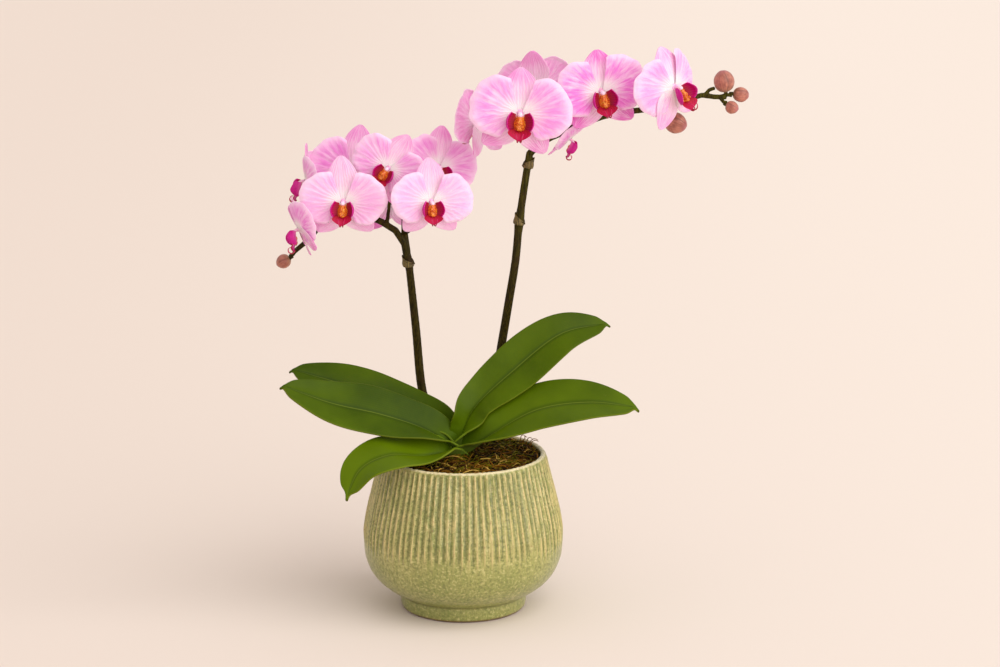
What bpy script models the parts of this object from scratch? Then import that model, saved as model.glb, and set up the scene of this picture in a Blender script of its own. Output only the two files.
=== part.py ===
"""A moth orchid in a glazed stoneware pot: pot, potting medium, moss, crown, five leaves, two flower spikes,
fourteen flowers and five buds.

Lengths are in millimetres until MM turns them into Blender's metres. The origin is the centre of the pot's
foot, on the surface that the pot stands on. +Z is up, and the plant is seen best from -Y.
"""

import math

import bmesh
import bpy
from mathutils import Matrix, Vector

MM = 0.001
GAP = 0.4  # between two pieces that touch in the real plant

# ---------------------------------------------------------------- driving dimensions
POT_SIDES = 36
POT_WALL = 5.0
FOOT_RADIUS, FOOT_HEIGHT = 50.5, 13.0
BELLY_RADIUS, BELLY_HEIGHT = 80.0, 54.0
RIM_RADIUS, RIM_HEIGHT = 66.5, 128.0
POT_FLOOR = 12.0
MEDIUM_TOP = 115.0
MOSS_EDGE, MOSS_CROWN = 122.5, 125.0

CROWN_PLACE = (-4.5, 1.0)
CROWN_TOP, CROWN_RADIUS = 141.0, 6.5

LEAF_THICKNESS = 2.2
LEAF_ROWS, LEAF_COLUMNS = 10, 4
LEAF_FOLD = 0.16  # depth of the channel along the blade, as a share of its half width

# The flower that every bloom is scaled from: 80 mm from petal tip to petal tip.
PETAL_LENGTH = 40.3
PETAL_RISE, PETAL_SPREAD = 10.0, 64.0  # degrees: the middle of the fan, and half its angle
SEPAL_THICKNESS = PETAL_THICKNESS = 1.0
SEPAL_WIDTH = 23.0
DORSAL_SEPAL_LENGTH = {"spike_left": 41.0, "spike_right": 36.0}
LATERAL_SEPAL_LENGTH = 38.0
LATERAL_DROP = 47.0  # degrees below the horizontal
HUB_RADIUS = 3.6

STEM_SIDES, STALK_SIDES = 6, 4
SPIKE_RADIUS = 3.8
PEDICEL_RADIUS = 1.5

# Leaf: spine points from the sheath to the tip, full width, roll of the blade about its spine (degrees)
LEAVES = {
    "leaf_right_upper": ([(1, 2, 147), (11, 8, 165), (37, 14, 189), (78, 26, 219), (119, 36, 226)], 46, 50),
    "leaf_right_lower": ([(5, -4, 130), (25, -10, 147), (59, -9, 166), (100, -8, 172), (141, -6, 166)], 56, 30),
    "leaf_left_back": ([(-12, 8, 142), (-28, 14, 153), (-67, 20, 168), (-104, 26, 180), (-141, 30, 189)], 46, -40),
    "leaf_left_front": ([(-14, -3, 137), (-33, -9, 151), (-68, -14, 164), (-106, -18, 174), (-145, -22, 189)], 54, -44),
    "leaf_left_low": ([(-14, -13, 130), (-33, -28, 133), (-57, -43, 138), (-80, -54, 129), (-91, -62, 108)], 50, -18),
}

# Stem: points from its base to its end. A branch starts inside the stem that bears it.
SPIKES = {
    "spike_left": [
        [(-12, 16, 128), (-21, 28, 145), (-33, 35, 168), (-38, 25, 225), (-43, 9, 282), (-46, 6, 297), (-53, 5, 308),
         (-64, 5, 315), (-82, 6, 321), (-101, 8, 319), (-114, 10, 309), (-126, 12, 296), (-134, 14, 289)],
        [(-44, 7, 290), (-46, 10, 304), (-46, 14, 318), (-41, 17, 334), (-33, 16, 344)],
    ],
    "spike_right": [
        [(4, 15, 128), (13, 30, 145), (25, 38, 175), (31, 34, 209), (37, 16, 250), (42, 9, 283), (45, 6, 316),
         (51, 3, 358), (53, 2, 370), (59, 1, 377), (69, 1, 383), (81, 2, 388), (100, 3, 396), (120, 3, 402),
         (139, 5, 404), (156, 8, 406), (174, 11, 411), (188, 11, 415), (198, 9, 414), (207, 8, 414)],
    ],
}
SPIKE_NODES = {"spike_left": (282,), "spike_right": (316, 366)}  # heights of the swollen joints

# Bloom: place of its hub, then degrees: the way it faces (0 is -Y, 90 is +X), upward tilt, roll; then its size,
# the point on its stem where its pedicel starts, and how far that bows out behind it
FLOWERS = {
    "right_front": ((45, -32, 407), 2, 4, -4, 0.965, (66, 1, 381), 10),
    "right_middle": ((108, -13, 421), 12, 4, 8, 0.89, (100, 3, 396), 12),
    "right_side": ((164, -24, 426), 46, 8, 14, 0.88, (150, 7, 405), 14),
    "right_outer": ((16, 10, 394), -118, 2, 4, 0.88, (57, 1, 376), 14),
    "right_back": ((58, 38, 415), 172, 6, -8, 0.80, (81, 2, 388), 12),
    "right_low": ((84, 15, 380), 84, -42, 0, 0.62, (76, 2, 386), 8),
    "left_front": ((-92, -32, 337.5), -3, 4, -1, 0.82, (-96, 8, 320), 10),
    "left_facing": ((-24, -34, 338), 14, 4, -3, 0.79, (-46, 10, 304), 12),
    "left_middle": ((-58, -10, 360), -8, 8, -30, 0.74, (-60, 5, 312), 12),
    "left_upper": ((-86, 22, 351), -14, 8, -6, 0.88, (-86, 7, 320), 17),
    "left_outer": ((-123, 12, 346), -92, -4, 0, 0.74, (-111, 9, 313), 12),
    "left_low": ((-127, -22, 314), -76, -18, 16, 0.72, (-112, 9, 311), 10),
    "left_back": ((-20, 32, 354), 24, 8, -14, 0.78, (-45, 15, 322), 14),
    "left_hidden": ((-58, 38, 328), 178, -6, 0, 0.82, (-46, 14, 318), 12),
}

# Bud: place of its centre, radius, the point on its stem where its stalk starts
BUDS = {
    "bud_left_tip": ((-142.5, 15, 281), 5.8, (-132, 14, 291)),
    "bud_right_low": ((167, 0, 395), 8.4, (150, 7, 405)),
    "bud_right_high": ((205, 8, 426), 8.4, (190, 11, 415)),
    "bud_right_end": ((218, 8, 416), 6.2, (202, 8, 414)),
    "bud_right_tip": ((211, 1, 407), 5.2, (202, 8, 414)),
}


# ---------------------------------------------------------------- tools
def clear_scene():
    for obj in list(bpy.data.objects):
        bpy.data.objects.remove(obj)


def material(name, colour, roughness, metallic=0.0):
    made = bpy.data.materials.new(name)
    made.use_nodes = True
    shader = made.node_tree.nodes["Principled BSDF"]
    shader.inputs["Base Color"].default_value = (*colour, 1.0)
    shader.inputs["Roughness"].default_value = roughness
    shader.inputs["Metallic"].default_value = metallic
    return made


def smooth_line(points, spacing):
    """A Catmull-Rom curve through the points, with one point about every spacing along it."""
    p = [Vector(q) for q in points]
    p = [2 * p[0] - p[1], *p, 2 * p[-1] - p[-2]]
    line = []
    for a, b, c, d in zip(p, p[1:], p[2:], p[3:]):
        steps = max(1, round((c - b).length / spacing))
        for i in range(steps):
            t = i / steps
            line.append(0.5 * (2 * b + (c - a) * t + (2 * a - 5 * b + 4 * c - d) * t**2 + (3 * b - a - 3 * c + d) * t**3))
    return [*line, p[-2]]


def along(points, share):
    """The point at this share of a smooth line's points, and the line's direction there."""
    line = smooth_line(points, 1.0)
    at = share * (len(line) - 1)
    i = min(int(at), len(line) - 2)
    return line[i].lerp(line[i + 1], at - i), (line[i + 1] - line[i]).normalized()


def new_object(name, mesh, collection, finish):
    obj = bpy.data.objects.new(name, mesh)
    collection.objects.link(obj)
    if finish is not None:
        mesh.materials.clear()
        mesh.materials.append(finish)
    return obj


def mesh_from(bm, name, smooth=True):
    bmesh.ops.recalc_face_normals(bm, faces=bm.faces)
    mesh = bpy.data.meshes.new(name)
    bm.to_mesh(mesh)
    bm.free()
    if smooth:
        mesh.shade_smooth()
    return mesh


def turned(name, profile, sides, collection, finish):
    """A solid of revolution about Z. The profile is (radius, height), and runs down its outer side."""
    mesh = bpy.data.meshes.new(name)
    points = [(r * MM, 0, z * MM) for r, z in profile]
    mesh.from_pydata(points, [(i, i + 1) for i in range(len(points) - 1)], [])
    obj = new_object(name, mesh, collection, finish)
    screw = obj.modifiers.new("turn", "SCREW")
    screw.steps = screw.render_steps = sides
    screw.use_merge_vertices = True
    screw.merge_threshold = 0.00005
    screw.use_smooth_shade = True
    return obj


def grid_sheet(rows, columns, place):
    """A bmesh grid whose corners (u from 0 to 1, t from -1 to 1) go where place(u, t) says, in millimetres."""
    bm = bmesh.new()
    bmesh.ops.create_grid(bm, x_segments=rows, y_segments=columns, size=1.0)
    for vert in bm.verts:
        vert.co = Vector(place((vert.co.x + 1) / 2, vert.co.y)) * MM
    return bm


def thicken(obj, thickness):
    shell = obj.modifiers.new("thickness", "SOLIDIFY")
    shell.thickness = thickness * MM
    shell.offset = 0.0


def applied(obj, name):
    """The object's evaluated shape as a new mesh, in world space. The object is removed."""
    bpy.context.view_layer.update()
    mesh = bpy.data.meshes.new_from_object(obj.evaluated_get(bpy.context.evaluated_depsgraph_get()))
    mesh.name = name
    mesh.transform(obj.matrix_world)
    bm = bmesh.new()
    bm.from_mesh(mesh)
    bmesh.ops.remove_doubles(bm, verts=bm.verts, dist=0.00002)
    bm.to_mesh(mesh)
    bm.free()
    bpy.data.objects.remove(obj)
    return mesh


def united(name, meshes, collection):
    """One mesh, the Boolean union of closed meshes that overlap."""
    body = new_object(name, meshes[0], collection, None)
    extras = [new_object(f"{name}_{i}", mesh, collection, None) for i, mesh in enumerate(meshes[1:])]
    for extra in extras:
        join = body.modifiers.new("join", "BOOLEAN")
        join.operation = "UNION"
        join.object = extra
    mesh = applied(body, name)
    for extra in extras:
        bpy.data.objects.remove(extra)
    return mesh


def tube(name, line, radii, sides, collection):
    """A closed mesh around a line, with its own radius at each point."""
    curve = bpy.data.curves.new(name, "CURVE")
    curve.dimensions = "3D"
    curve.bevel_depth = MM
    curve.bevel_resolution = sides // 2 - 2
    curve.use_fill_caps = True
    spline = curve.splines.new("POLY")
    spline.points.add(len(line) - 1)
    for point, place, radius in zip(spline.points, line, radii):
        point.co = (*(place * MM), 1.0)
        point.radius = radius
    obj = bpy.data.objects.new(name, curve)
    collection.objects.link(obj)
    return applied(obj, name)


# ---------------------------------------------------------------- pot and what it holds
def pot_outside():
    """The outer side of the pot from the rim down to the foot, as (radius, height)."""
    shoulder = (RIM_RADIUS + 0.37 * (BELLY_RADIUS - RIM_RADIUS), 0.73 * RIM_HEIGHT + 0.27 * BELLY_HEIGHT)
    flank = (RIM_RADIUS + 0.81 * (BELLY_RADIUS - RIM_RADIUS), 0.35 * RIM_HEIGHT + 0.65 * BELLY_HEIGHT)
    underside = (0.83 * BELLY_RADIUS + 0.17 * FOOT_RADIUS, 0.49 * BELLY_HEIGHT + 0.51 * FOOT_HEIGHT)
    tuck = (0.41 * BELLY_RADIUS + 0.59 * FOOT_RADIUS, 0.15 * BELLY_HEIGHT + 0.85 * FOOT_HEIGHT)
    body = [(RIM_RADIUS, RIM_HEIGHT - 1.5), shoulder, flank, (BELLY_RADIUS, BELLY_HEIGHT), underside, tuck,
            (FOOT_RADIUS + 1.5, FOOT_HEIGHT + 0.5)]
    line = [(q.x, q.y) for q in smooth_line([(r, z, 0) for r, z in body], 14.0)]
    foot = [(FOOT_RADIUS, FOOT_HEIGHT - 1.5), (FOOT_RADIUS, 3.0), (FOOT_RADIUS - 1.2, 0.8), (FOOT_RADIUS - 3, 0)]
    return line + foot


def inner_radius(height):
    """The radius of the pot's inside at a height."""
    body = [q for q in pot_outside() if q[1] > FOOT_HEIGHT]
    for (upper_r, upper_z), (lower_r, lower_z) in zip(body, body[1:]):
        if lower_z <= height <= upper_z:
            share = (height - lower_z) / (upper_z - lower_z)
            return lower_r + (upper_r - lower_r) * share - POT_WALL
    return body[0][0] - POT_WALL


def make_pot(collection, finish):
    heights = (POT_FLOOR + 8, 54, 80, RIM_HEIGHT - 2)
    inside = [(0, POT_FLOOR), (inner_radius(POT_FLOOR + 8) - 9, POT_FLOOR)]
    inside += [(inner_radius(z), z) for z in heights]
    rim = [(RIM_RADIUS - POT_WALL + 0.8, RIM_HEIGHT - 0.4), (RIM_RADIUS - POT_WALL / 2, RIM_HEIGHT),
           (RIM_RADIUS - 0.8, RIM_HEIGHT - 0.4)]
    turned("pot", inside + rim + pot_outside() + [(0, 0)], POT_SIDES, collection, finish)


def make_medium(collection, finish):
    """The bark mix that fills the pot, up to the underside of the moss."""
    heights = (MEDIUM_TOP, 80, 54, POT_FLOOR + 8)
    side = [(inner_radius(z) - 0.8, z) for z in heights]
    low = (inner_radius(POT_FLOOR + 8) - 10, POT_FLOOR + GAP)
    turned("potting_medium", [(0, MEDIUM_TOP), *side, low, (0, POT_FLOOR + GAP)], POT_SIDES, collection, finish)


def make_moss(collection, cutters, finish):
    """A low dome of moss, with a hole that the crown stands in."""
    edge = inner_radius(MOSS_EDGE) - 0.8
    profile = [(0, MOSS_CROWN), (24, MOSS_CROWN - 0.4), (44, MOSS_CROWN - 1.6), (edge - 3, MOSS_EDGE + 0.6),
               (edge, MOSS_EDGE - 1.5), (edge, MEDIUM_TOP + GAP), (0, MEDIUM_TOP + GAP)]
    moss = turned("moss_topping", profile, POT_SIDES, collection, finish)
    hole = bmesh.new()
    bmesh.ops.create_cone(hole, cap_ends=True, segments=16, radius1=(CROWN_RADIUS + 1) * MM,
                          radius2=(CROWN_RADIUS + 1) * MM, depth=40 * MM)
    cutter = new_object("crown_hole", mesh_from(hole, "crown_hole"), cutters, None)
    cutter.location = Vector((*CROWN_PLACE, MEDIUM_TOP)) * MM
    cutter.display_type = "WIRE"
    cutter.hide_render = True
    cut = moss.modifiers.new("crown_hole", "BOOLEAN")
    cut.object = cutter


def make_crown(collection, finish):
    """The short stem that the leaves and spikes grow from, ringed by old leaf scars."""
    foot = MEDIUM_TOP + GAP
    profile = [(0, CROWN_TOP), (CROWN_RADIUS * 0.35, CROWN_TOP - 1)]
    rings = 5
    for i in range(rings):
        z = CROWN_TOP - 4 - i * (CROWN_TOP - 8 - foot) / (rings - 1)
        r = CROWN_RADIUS * (0.62 + 0.38 * i / (rings - 1))
        profile += [(r, z), (r - 0.7, z - 1.6)]
    profile += [(CROWN_RADIUS - 0.5, foot), (0, foot)]
    crown = turned("crown", profile, 12, collection, finish)
    crown.location = Vector((*CROWN_PLACE, 0)) * MM


# ---------------------------------------------------------------- leaves
def leaf_width(u):
    """A strap leaf's half width as a share of its widest: a narrow sheath, widest past the middle, a blunt tip."""
    return 0.24 * (1 - u) ** 2 + 0.98 * math.sin(math.pi * u**0.92) ** 0.75 * (0.72 + 0.28 * u) + 0.05 * u


def leaf_point(spine, width, roll, u, t):
    """A point of the blade: u runs from sheath to tip, t from edge to edge."""
    middle, forward = along(spine, u)
    side = forward.cross(Vector((0, 0, 1))).normalized()
    side = Matrix.Rotation(math.radians(roll), 3, forward) @ side
    up = side.cross(forward)
    half = width / 2 * leaf_width(u)
    channel = LEAF_FOLD + 0.55 * (1 - u) ** 3
    return middle + side * (half * t) + up * (half * channel * (abs(t) - 0.5))


def make_leaf(name, spine, width, roll, collection, finish):
    bm = grid_sheet(LEAF_ROWS, LEAF_COLUMNS, lambda u, t: leaf_point(spine, width, roll, u, t))
    leaf = new_object(name, mesh_from(bm, name), collection, finish)
    thicken(leaf, LEAF_THICKNESS)


# ---------------------------------------------------------------- flowers
def petal_point(side, u, t):
    """A petal as a fan about its claw: u runs out along the veins, t from its lower edge (-1) to its upper (1)."""
    reach = PETAL_LENGTH * (1 - 0.36 * (t - 0.1) ** 2)
    angle = math.radians(PETAL_RISE + PETAL_SPREAD * t)
    r = 1.2 + u * (reach - 1.2)
    bow = 5.5 * math.sin(math.pi * 0.62 * r / PETAL_LENGTH) - 2.0 * t * t * r / PETAL_LENGTH
    return side * (1.4 + r * math.cos(angle)), 0.5 + r * math.sin(angle), 1.8 + bow


def sepal_point(length, angle, u, t):
    """A sepal: u runs from the hub to the tip, t from edge to edge. Its tip bends back."""
    half = SEPAL_WIDTH / 2 * (0.26 * (1 - u) + 0.92 * math.sin(math.pi * u**0.9) ** 0.75 + 0.10 * u)
    out, across = 1.5 + u * (length - 1.5), t * half
    c, s = math.cos(math.radians(angle)), math.sin(math.radians(angle))
    back = 0.5 + 4.5 * u * u + 0.9 * t * t * math.sin(math.pi * u)
    return out * c - across * s, out * s + across * c, -back


def disc(radius, low, high):
    """A short round boss about Z, as a mesh."""
    bm = bmesh.new()
    bmesh.ops.create_cone(bm, cap_ends=True, segments=8, radius1=radius * MM, radius2=radius * MM,
                          depth=(high - low) * MM, matrix=Matrix.Translation((0, 0, (low + high) / 2 * MM)))
    return mesh_from(bm, "disc")


def sheet_mesh(rows, columns, place, thickness, collection):
    sheet = new_object("sheet", mesh_from(grid_sheet(rows, columns, place), "sheet"), collection, None)
    thicken(sheet, thickness)
    return applied(sheet, "sheet")


def egg(centre, radii, tilt, segments=8, rings=5):
    """An ellipsoid, tilted about X by so many degrees, as a mesh."""
    bm = bmesh.new()
    shape = Matrix.Translation(Vector(centre) * MM) @ Matrix.Rotation(math.radians(tilt), 4, "X")
    shape = shape @ Matrix.Diagonal((*(Vector(radii) * MM), 1))
    bmesh.ops.create_uvsphere(bm, u_segments=segments, v_segments=rings, radius=1.0, matrix=shape)
    return mesh_from(bm, "egg")


def petals_mesh(collection, finish):
    parts = [sheet_mesh(2, 5, lambda u, t, s=side: petal_point(s, u, t), PETAL_THICKNESS, collection)
             for side in (1, -1)]
    mesh = united("petals", [disc(HUB_RADIUS, 1.0, 2.6), *parts], collection)
    mesh.materials.append(finish)
    return mesh


def sepals_mesh(dorsal_length, collection, finish):
    sepals = ((dorsal_length, 90), (LATERAL_SEPAL_LENGTH, -LATERAL_DROP), (LATERAL_SEPAL_LENGTH, LATERAL_DROP - 180))
    parts = [sheet_mesh(3, 2, lambda u, t, z=length, a=angle: sepal_point(z, a, u, t), SEPAL_THICKNESS, collection)
             for length, angle in sepals]
    mesh = united("sepals", [disc(HUB_RADIUS, -1.3, 0.1), *parts], collection)
    mesh.materials.append(finish)
    return mesh


def lip_mesh(collection, finish):
    """The column with its two raised side lobes, callus and middle lobe below it."""
    column = egg((0, -1.5, 7.5), (3.2, 3.2, 4.8), 25, 6, 3)
    callus = egg((0, -8.5, 9.5), (5.8, 7.5, 3.8), -10, 6, 4)
    side_lobes = [egg((s * 6.4, -7.5, 11.0), (3.6, 8.0, 5.0), -8, 5, 4) for s in (1, -1)]
    middle_lobe = egg((0, -16.0, 12.0), (8.8, 6.4, 3.0), 20, 6, 4)
    mesh = united("lip", [callus, column, *side_lobes, middle_lobe], collection)
    mesh.materials.append(finish)
    return mesh


def facing(place, azimuth, tilt, roll, size):
    """The matrix of a flower whose own axes are +X to its side, +Y to its dorsal sepal and +Z out of its face."""
    turn = Matrix.Rotation(math.radians(azimuth), 4, "Z") @ Matrix.Rotation(math.radians(90 - tilt), 4, "X")
    turn = turn @ Matrix.Rotation(math.radians(roll), 4, "Z")
    return Matrix.Translation(Vector(place) * MM) @ turn @ Matrix.Scale(size, 4)


def make_flower(name, place, azimuth, tilt, roll, size, whorls, collection):
    centre = bpy.data.objects.new(f"flower_{name}", None)
    collection.objects.link(centre)
    centre.matrix_world = facing(place, azimuth, tilt, roll, size)
    for whorl, mesh in whorls.items():
        piece = bpy.data.objects.new(f"flower_{name}_{whorl}", mesh)
        collection.objects.link(piece)
        piece.parent = centre


# ---------------------------------------------------------------- spikes, stalks and buds
def spike_radius(height, share, nodes):
    """Thinner towards the end, and swollen at each joint."""
    swell = sum(1.6 * math.exp(-(((height - node) / 3.5) ** 2)) for node in nodes)
    return SPIKE_RADIUS * (1 - 0.52 * share**1.5) + swell * (1 - share)


def stem_mesh(name, points, thick, nodes, collection):
    line = smooth_line(points, 12.0)
    last = len(line) - 1
    radii = [thick * spike_radius(q.z, i / last, nodes) for i, q in enumerate(line)]
    return tube(name, line, radii, STEM_SIDES, collection)


def pedicel_line(start, place, azimuth, tilt, size, bow):
    """From the stem, out behind the flower, and in along its axis to the back of its hub."""
    a, e = math.radians(azimuth), math.radians(tilt)
    face = Vector((math.sin(a) * math.cos(e), -math.cos(a) * math.cos(e), math.sin(e)))
    end = Vector(place) - face * (1.3 * size + GAP)
    behind = end - face * bow
    start = Vector(start)
    middle = start.lerp(behind, 0.6)
    middle.z = start.z + 0.4 * (behind.z - start.z)
    return smooth_line([start, middle, behind.lerp(end, 0.4), end], 7.0)


def bud_stalk_line(start, place, radius):
    start, centre = Vector(start), Vector(place)
    towards = (centre - start).normalized()
    end = centre - towards * (radius + GAP)
    middle = start.lerp(end, 0.5) + Vector((0, 0, -1.5 if end.z < start.z else 1.5))
    return smooth_line([start, middle, end], 5.0)


def borne_by(spike, start):
    """Whether a stalk starts on this spike: the one with the nearest point."""
    def distance(name):
        return min((q - Vector(start)).length for stem in SPIKES[name] for q in smooth_line(stem, 3.0))
    return min(SPIKES, key=distance) == spike


def make_spike(name, collection, finish):
    stems = SPIKES[name]
    parts = [stem_mesh(name, points, 1.0 if i == 0 else 0.78, SPIKE_NODES[name], collection)
             for i, points in enumerate(stems)]
    for place, azimuth, tilt, _, size, start, bow in FLOWERS.values():
        if borne_by(name, start):
            line = pedicel_line(start, place, azimuth, tilt, size, bow)
            radii = [PEDICEL_RADIUS * (1.15 - 0.3 * math.sin(math.pi * i / (len(line) - 1))) for i in range(len(line))]
            parts.append(tube("pedicel", line, radii, STALK_SIDES, collection))
    for place, radius, start in BUDS.values():
        if borne_by(name, start):
            line = bud_stalk_line(start, place, radius)
            parts.append(tube("bud_stalk", line, [PEDICEL_RADIUS] * len(line), STALK_SIDES, collection))
    new_object(name, united(name, parts, collection), collection, finish)


def make_bud(name, place, radius, start, collection, finish):
    bm = bmesh.new()
    bmesh.ops.create_uvsphere(bm, u_segments=10, v_segments=6, radius=radius * MM)
    for vert in bm.verts:
        vert.co.z *= 1.0 + 0.06 * max(0.0, vert.co.z / (radius * MM))
    bud = new_object(name, mesh_from(bm, name), collection, finish)
    bud.rotation_euler = (Vector(place) - Vector(start)).to_track_quat("Z", "Y").to_euler()
    bud.location = Vector(place) * MM


# ---------------------------------------------------------------- the whole plant
def main():
    clear_scene()
    plant = bpy.data.collections.new("potted_orchid")
    cutters = bpy.data.collections.new("cutters")
    for collection in (plant, cutters):
        bpy.context.scene.collection.children.link(collection)

    glaze = material("glaze", (0.33, 0.34, 0.15), 0.25)
    bark = material("bark", (0.07, 0.04, 0.02), 0.95)
    moss = material("moss", (0.16, 0.12, 0.03), 0.95)
    leaf = material("leaf", (0.06, 0.13, 0.01), 0.35)
    sheath = material("sheath", (0.16, 0.15, 0.04), 0.6)
    stem = material("stem", (0.06, 0.06, 0.015), 0.5)
    petal = material("petal", (0.84, 0.42, 0.66), 0.5)
    sepal = material("sepal", (0.78, 0.36, 0.60), 0.5)
    lip = material("lip", (0.50, 0.01, 0.12), 0.4)
    bud = material("bud", (0.40, 0.16, 0.10), 0.5)

    make_pot(plant, glaze)
    make_medium(plant, bark)
    make_moss(plant, cutters, moss)
    make_crown(plant, sheath)
    for name, (spine, width, roll) in LEAVES.items():
        make_leaf(name, spine, width, roll, plant, leaf)
    for name in SPIKES:
        make_spike(name, plant, stem)
    petals, lips = petals_mesh(plant, petal), lip_mesh(plant, lip)
    sepals = {spike: sepals_mesh(length, plant, sepal) for spike, length in DORSAL_SEPAL_LENGTH.items()}
    for name, (place, azimuth, tilt, roll, size, start, _) in FLOWERS.items():
        spike = next(spike for spike in SPIKES if borne_by(spike, start))
        whorls = {"sepals": sepals[spike], "petals": petals, "lip": lips}
        make_flower(name, place, azimuth, tilt, roll, size, whorls, plant)
    for name, (place, radius, start) in BUDS.items():
        make_bud(name, place, radius, start, plant, bud)


main()
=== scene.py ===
"""The looks of a moth orchid in a fluted stoneware pot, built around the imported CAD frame.

Lengths are in millimetres in each piece's own coordinates, and MM turns them into Blender's metres. +Z is up,
the origin is under the pot's foot, and the camera looks along +Y.
"""

import math
import random

import bpy
from mathutils import Matrix, Vector, noise


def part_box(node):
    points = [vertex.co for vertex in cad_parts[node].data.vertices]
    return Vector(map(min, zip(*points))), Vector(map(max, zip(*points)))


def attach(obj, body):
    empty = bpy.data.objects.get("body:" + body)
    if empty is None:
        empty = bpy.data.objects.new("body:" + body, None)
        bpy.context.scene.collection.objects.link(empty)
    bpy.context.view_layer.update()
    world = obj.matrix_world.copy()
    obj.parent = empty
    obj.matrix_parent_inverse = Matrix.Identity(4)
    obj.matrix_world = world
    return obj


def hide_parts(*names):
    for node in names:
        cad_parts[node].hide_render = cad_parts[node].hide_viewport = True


MM = 0.001
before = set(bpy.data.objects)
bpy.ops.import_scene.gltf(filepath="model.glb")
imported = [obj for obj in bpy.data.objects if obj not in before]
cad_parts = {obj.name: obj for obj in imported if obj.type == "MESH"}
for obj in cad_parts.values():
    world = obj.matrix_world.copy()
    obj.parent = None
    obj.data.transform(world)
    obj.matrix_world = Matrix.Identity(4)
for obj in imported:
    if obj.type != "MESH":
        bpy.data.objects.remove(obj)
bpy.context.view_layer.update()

# ------------------------ the pot's and leaves' shapes, as in the CAD model
# Radius and height of the pot's outside, from the foot, over the rim and just inside it
POT_PROFILE = [
    (47, 0), (49.4, 1.2), (50.4, 4.5), (50.8, 9.5), (50.9, 12), (52.4, 13.6), (56.5, 15.6), (62.5, 19.4),
    (69.5, 25.4), (75.2, 33.4), (78.9, 43.4), (80.1, 54), (79.6, 67), (77.4, 80), (74.2, 94), (70.8, 108),
    (68.0, 119), (66.9, 124), (65.9, 126.9), (64.2, 128), (62.4, 127.2), (61.7, 124.6),
]
POT_WALL = 5.0
POT_FLOOR = 12.0
FLUTES = 84
FLUTE_SIDES = 10  # faces across one flute
FLUTE_FADE = 50.0  # height where the fluting starts
MOSS_EDGE, MOSS_CROWN = 124.0, 126.0  # heights of the moss
BED_RADIUS, BED_THICKNESS = 61.2, 3.0
STRANDS, STRAND_EDGE = 2100, 60.4
STRAND_STEPS = 8
# Strands that hang over the rim: where round the pot, and how long
OVERHANGS = ((0.42, 12), (0.50, 9), (0.36, 10), (0.58, 7), (0.66, 9))
CROWN_PLACE = (-4.5, 1.0)

# Leaf: midrib points from the crown to its tip, greatest width, roll (degrees), freshness of its green
LEAVES = {
    "leaf_right_upper": (
        [(-5, 1, 122), (1, 2, 147), (11, 8, 165), (37, 14, 189), (78, 26, 219), (119, 36, 226)],
        46, 50, 0.45),
    "leaf_right_lower": (
        [(-7, -1, 120), (5, -4, 130), (25, -10, 147), (59, -9, 166), (100, -8, 172), (141, -6, 166)],
        56, 30, 0.45),
    "leaf_left_back": (
        [(-3, 3, 121), (-12, 8, 142), (-28, 14, 153), (-67, 20, 168), (-104, 26, 180), (-141, 30, 189)],
        46, -40, 0.35),
    "leaf_left_front": (
        [(-1, -2, 119), (-14, -3, 137), (-33, -9, 151), (-68, -14, 164), (-106, -18, 174), (-145, -22, 189)],
        51, -40, 0.15),
    "leaf_left_low": (
        [(-4, -5, 119), (-14, -13, 130), (-33, -28, 133), (-57, -43, 138), (-80, -54, 129), (-91, -62, 108)],
        50, -18, 1.0),
}
LEAF_FOLD = 0.16  # depth of the channel along the blade, as a share of its half width
LEAF_THICKNESS = 1.7
# Remains of an old leaf's sheath: where round the crown (degrees), height, how far round it reaches (radians)
OLD_SHEATHS = (
    (200, 7, 1.1), (248, 8, 1.0), (292, 6, 1.0), (335, 9, 0.9), (25, 8, 1.1), (95, 24, 0.5), (150, 9, 1.0),
)
SHEATH = 0.14  # share of a leaf's length, from the crown, that is folded round the crown

# ------------------------ one bloom, 80 mm wide, +Z out of its face
PETALS_CENTRE = Vector((0, 5.19, 5.50))  # of the CAD petals, from the bloom's hub
# From the centre of the CAD petals to that of the CAD lip: the distance, and the angle from the bloom's +Z
LIP_DISTANCE, LIP_ANGLE = 15.41, math.radians(70.66)
PETAL_REACH = 40.3
PETAL_RISE, PETAL_SPREAD = 10.0, 65.0  # angle of a petal's middle above level, half the angle of its fan
SEPAL_WIDTH, DORSAL_WIDTH = 24.0, 28.0
LATERAL_LENGTH, LATERAL_DROP = 38.0, 47.0

# Bloom: how far its petals rise above PETAL_RISE (degrees), depth of its dish, length of its dorsal sepal,
# how deep its pink is, how far its petals are swept back (degrees)
BLOOMS = {
    "right_front": (-2, 5.5, 36, 0.5, 0),
    "right_middle": (2, 5.0, 36, 0.95, 0),
    "right_side": (0, 5.5, 37, 0.35, 25),
    "right_outer": (0, 6.0, 36, 0.70, 0),
    "right_back": (0, 5.0, 40, 0.60, 0),
    "right_low": (0, 7.0, 36, 0.80, 26),
    "left_front": (-5, 5.0, 43, 0.2, 0),
    "left_facing": (-4, 5.5, 43, 0.1, 0),
    "left_middle": (-3, 5.0, 41, 0.40, 0),
    "left_upper": (0, 5.5, 43, 0.55, 0),
    "left_outer": (-2, 6.5, 41, 0.55, 34),
    "left_low": (0, 7.0, 36, 0.75, 30),
    "left_back": (0, 5.5, 42, 0.50, 0),
    "left_hidden": (0, 5.5, 41, 0.90, 0),
}
BUDS = {
    "bud_left_tip": "spike_left",
    "bud_right_low": "spike_right",
    "bud_right_high": "spike_right",
    "bud_right_end": "spike_right",
    "bud_right_tip": "spike_right",
}
STALK_REACH = 16.0  # from the end of a CAD stalk to the hub it bears
HUB_RADIUS, BUD_BASE = 2.6, 2.0  # of a stalk's end under a bloom and inside a bud
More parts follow.
